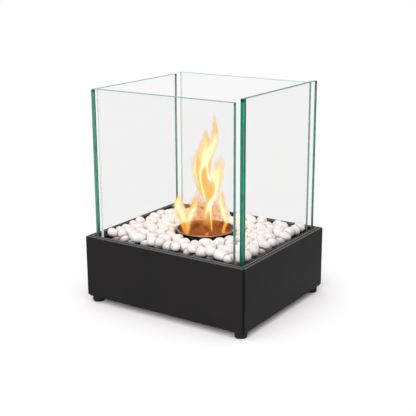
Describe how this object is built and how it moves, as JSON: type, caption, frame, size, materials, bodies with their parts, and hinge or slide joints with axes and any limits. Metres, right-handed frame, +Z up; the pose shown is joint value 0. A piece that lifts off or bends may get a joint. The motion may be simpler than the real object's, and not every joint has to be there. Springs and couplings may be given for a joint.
{
  "type": "tabletop fireplace",
  "caption": "Tabletop bioethanol fireplace: a black steel tray on round feet, filled with white pebbles round a steel burner cup, with a glass pane standing in a channel on every side.",
  "frame": {"origin": "middle of the footprint, on the surface that the feet stand on", "axes": "+X to the right along the long front, +Y to the back, +Z up"},
  "size_m": [0.245, 0.205, 0.29],
  "materials": {
    "black_powder_coat": "black powder coat, satin, very fine grain",
    "black_rubber": "moulded black rubber, matt",
    "zinc_plated_steel": "zinc plated steel",
    "stainless_steel": "drawn stainless steel, warmed brown by heat inside",
    "clear_glass": "clear float glass with green ground edges",
    "white_stone": "tumbled white pebbles, matt with a faint polish",
    "ceramic_fibre": "ceramic fibre felt",
    "flame": "yellow bioethanol flame, in the visual model only"
  },
  "bodies": {
    "tray": {"tray_shell": "black_powder_coat", "bottom_plate": "black_powder_coat", "foot_front_left": "black_rubber", "foot_front_right": "black_rubber", "foot_back_left": "black_rubber", "foot_back_right": "black_rubber", "foot_screw_front_left": "zinc_plated_steel", "foot_screw_front_right": "zinc_plated_steel", "foot_screw_back_left": "zinc_plated_steel", "foot_screw_back_right": "zinc_plated_steel", "foot_nut_front_left": "zinc_plated_steel", "foot_nut_front_right": "zinc_plated_steel", "foot_nut_back_left": "zinc_plated_steel", "foot_nut_back_right": "zinc_plated_steel", "shelf_plate": "black_powder_coat", "shelf_bracket_front_first": "black_powder_coat", "shelf_bracket_front_second": "black_powder_coat", "shelf_bracket_back_first": "black_powder_coat", "shelf_bracket_back_second": "black_powder_coat", "shelf_screw_front_first": "zinc_plated_steel", "shelf_screw_front_second": "zinc_plated_steel", "shelf_screw_back_first": "zinc_plated_steel", "shelf_screw_back_second": "zinc_plated_steel", "glass_channel_front": "black_powder_coat", "glass_channel_right": "black_powder_coat", "glass_channel_back": "black_powder_coat", "glass_channel_left": "black_powder_coat", "channel_rivet_front_first": "zinc_plated_steel", "channel_rivet_front_second": "zinc_plated_steel", "channel_rivet_right_first": "zinc_plated_steel", "channel_rivet_right_second": "zinc_plated_steel", "channel_rivet_back_first": "zinc_plated_steel", "channel_rivet_back_second": "zinc_plated_steel", "channel_rivet_left_first": "zinc_plated_steel", "channel_rivet_left_second": "zinc_plated_steel", "pebbles_right": "white_stone", "pebbles_back_right": "white_stone", "pebbles_back": "white_stone", "pebbles_back_left": "white_stone", "pebbles_left": "white_stone", "pebbles_front_left": "white_stone", "pebbles_front": "white_stone", "pebbles_front_right": "white_stone"},
    "front_pane": {"glass_pane_front": "clear_glass"},
    "right_pane": {"glass_pane_right": "clear_glass"},
    "back_pane": {"glass_pane_back": "clear_glass"},
    "left_pane": {"glass_pane_left": "clear_glass"},
    "burner": {"burner_cup": "stainless_steel", "fibre_pad": "ceramic_fibre"}
  },
  "joints": [
    {"name": "front_pane_lift", "type": "slide", "parent": "tray", "child": "front_pane", "axis": [0, 0, 1], "range_m": [0, 0.225]},
    {"name": "right_pane_lift", "type": "slide", "parent": "tray", "child": "right_pane", "axis": [0, 0, 1], "range_m": [0, 0.225]},
    {"name": "back_pane_lift", "type": "slide", "parent": "tray", "child": "back_pane", "axis": [0, 0, 1], "range_m": [0, 0.225]},
    {"name": "left_pane_lift", "type": "slide", "parent": "tray", "child": "left_pane", "axis": [0, 0, 1], "range_m": [0, 0.225]},
    {"name": "burner_lift", "type": "slide", "parent": "tray", "child": "burner", "axis": [0, 0, 1], "range_m": [0, 0.285]}
  ]
}
